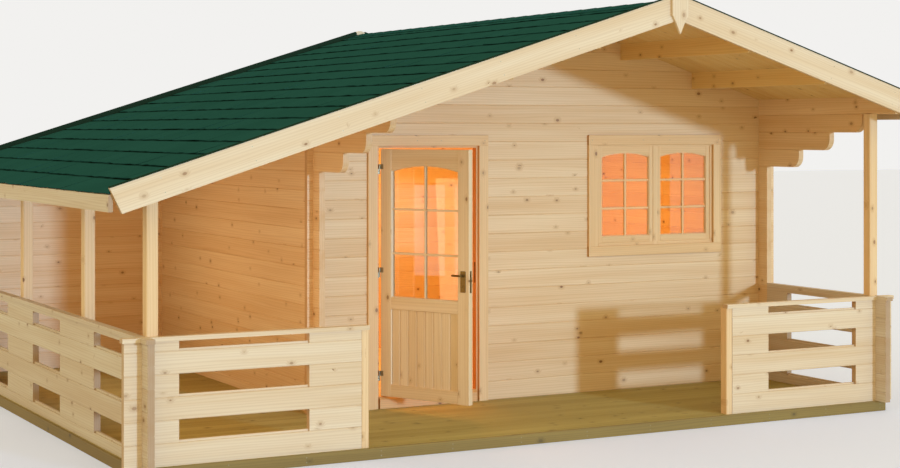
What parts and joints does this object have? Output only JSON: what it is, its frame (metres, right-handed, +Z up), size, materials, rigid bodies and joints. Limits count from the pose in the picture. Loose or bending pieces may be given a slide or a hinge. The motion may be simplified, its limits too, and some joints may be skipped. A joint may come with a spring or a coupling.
{
  "type": "log cabin with a front veranda and a covered side store",
  "caption": "Log cabin with a gabled roof that runs down over a side store, a railed front veranda, a half glazed door and a casement window.",
  "frame": {"origin": "middle of the roof's outline, on the level ground under the bearers", "axes": "+X to the right seen from the front, +Y from the door side to the rear, +Z up"},
  "size_m": [6.26, 5.16, 3.0176],
  "materials": {
    "spruce": "planed, clear stained",
    "treated_deck": "pressure treated, grooved",
    "treated_bearer": "pressure treated, sawn",
    "green_felt_shingle": "mineral surfaced bitumen felt",
    "glass": "clear float",
    "aged_brass": "aged, satin",
    "zinc_steel": "zinc plated"
  },
  "bodies": {
    "cabin": {"bargeboards_left": "spruce", "bargeboards_right": "spruce", "cabin_floor": "spruce", "door_casing": "spruce", "door_head": "spruce", "door_jambs": "spruce", "door_threshold": "spruce", "eave_beam": "spruce", "eave_fascias": "spruce", "entrance_posts": "spruce", "finials": "spruce", "floor_bearers": "treated_bearer", "frame_hinges": "zinc_steel", "front_caps": "spruce", "front_edge_board": "treated_deck", "front_gable": "spruce", "front_railing_left": "spruce", "front_railing_right": "spruce", "front_wall_below_window": "spruce", "front_wall_left": "spruce", "front_wall_middle": "spruce", "front_wall_right": "spruce", "front_wall_top": "spruce", "left_wall": "spruce", "left_wall_top_logs": "spruce", "rear_gable": "spruce", "rear_wall": "spruce", "ridge_cap": "green_felt_shingle", "ridge_purlin": "spruce", "right_railing": "spruce", "right_wall": "spruce", "right_wall_top_logs": "spruce", "roof_boards_left": "spruce", "roof_boards_right": "spruce", "roof_posts": "spruce", "shingles_left": "green_felt_shingle", "shingles_right": "green_felt_shingle", "side_caps": "spruce", "side_edge_boards": "treated_deck", "slope_purlins": "spruce", "store_deck": "treated_deck", "store_railing": "spruce", "veranda_deck": "treated_deck", "window_casing": "spruce", "window_frame": "spruce", "window_glass": "glass", "window_sashes": "spruce"},
    "door": {"door_leaf": "spruce", "door_panel": "spruce", "door_glass": "glass", "door_handle": "aged_brass", "leaf_hinges": "zinc_steel"}
  },
  "joints": [
    {"name": "door_hinge", "type": "hinge", "parent": "cabin", "child": "door", "pos_m": [-0.6, -0.928, 1.073], "axis": [0, 0, -1], "range_deg": [-65, 35]}
  ]
}
